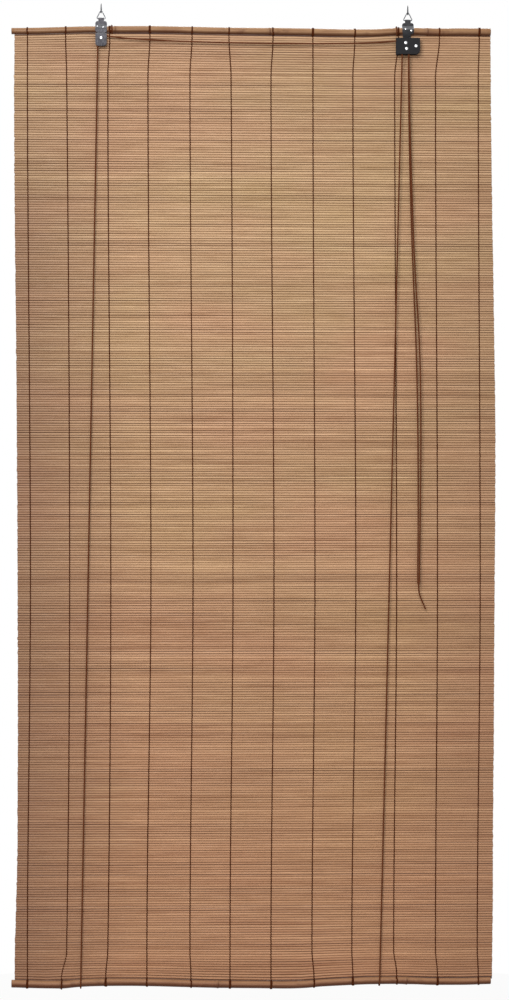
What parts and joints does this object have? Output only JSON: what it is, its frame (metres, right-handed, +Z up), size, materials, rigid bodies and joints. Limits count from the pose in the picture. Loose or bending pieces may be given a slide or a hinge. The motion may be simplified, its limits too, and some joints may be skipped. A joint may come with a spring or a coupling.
{
  "type": "bamboo roll-up blind",
  "caption": "Flat bamboo slat blind hung by two hooks, with a head cane, a foot cane, lift cords over a pulley and a cam cord lock, and a knotted pull cord.",
  "frame": {"origin": "midway between the two hook shanks, on the surface that they screw into", "axes": "+X to the right as seen in front, +Y away from the viewer, +Z up along the hook shanks"},
  "size_m": [0.802, 0.0285, 1.6414],
  "materials": {
    "bamboo_slat": "dry split bamboo",
    "bamboo_cane": "satin cane skin",
    "string": "matt dyed string",
    "cord": "braided cord",
    "zinc_sheet": "zinc plated",
    "bright_steel": "bright drawn",
    "black_paint": "satin black paint",
    "nylon": "natural nylon"
  },
  "bodies": {
    "hangers": {"screw_hooks": "bright_steel", "bails": "bright_steel"},
    "blind": {"left_hanger": "zinc_sheet", "right_hanger": "zinc_sheet", "nails": "bright_steel", "head_cane": "bamboo_cane", "slat_mat": "bamboo_slat", "warp_strings": "string", "head_bindings": "string", "pulley_housing": "zinc_sheet", "lock_housing": "black_paint", "left_axle": "bright_steel", "lock_axle": "bright_steel", "anvil_pin": "bright_steel", "cam_pin": "bright_steel", "lift_cord_left": "cord", "lift_cord_right": "cord", "cross_cord": "cord", "pull_cord_back": "cord", "pull_cord_front": "cord", "pull_cord_tail": "cord", "pull_cord_knot": "cord", "lift_tie_left": "cord", "lift_tie_right": "cord"},
    "foot_rail": {"foot_cane": "bamboo_cane", "foot_bindings": "string"},
    "pulley_wheel": {"left_sheave": "nylon"},
    "lock_wheel_back": {"lock_sheave_back": "nylon"},
    "lock_wheel_front": {"lock_sheave_front": "nylon"},
    "anvil": {"lock_anvil": "bright_steel"},
    "cam": {"lock_cam": "bright_steel"}
  },
  "joints": [
    {"name": "blind_swing", "type": "hinge", "parent": "hangers", "child": "blind", "pos_m": [0, 0, -0.01726], "axis": [1, 0, 0], "range_deg": [-40, 40]},
    {"name": "roll_up", "type": "slide", "parent": "blind", "child": "foot_rail", "axis": [0, 0, 1], "range_m": [0, 1.47], "deforming": ["slat_mat", "warp_strings", "lift_cord_left", "lift_cord_right"]},
    {"name": "pulley_turn", "type": "hinge", "parent": "blind", "child": "pulley_wheel", "pos_m": [-0.256, 0, -0.05106], "axis": [0, 1, 0], "continuous": true},
    {"name": "lock_wheel_back_turn", "type": "hinge", "parent": "blind", "child": "lock_wheel_back", "pos_m": [0.251, 0, -0.05706], "axis": [0, 1, 0], "continuous": true},
    {"name": "lock_wheel_front_turn", "type": "hinge", "parent": "blind", "child": "lock_wheel_front", "pos_m": [0.251, 0, -0.05706], "axis": [0, 1, 0], "continuous": true},
    {"name": "anvil_turn", "type": "hinge", "parent": "blind", "child": "anvil", "pos_m": [0.2523, 0, -0.06677], "axis": [0, 1, 0], "continuous": true},
    {"name": "cam_turn", "type": "hinge", "parent": "blind", "child": "cam", "pos_m": [0.2682, 0, -0.06227], "axis": [0, -1, 0], "range_deg": [0, 30]}
  ]
}
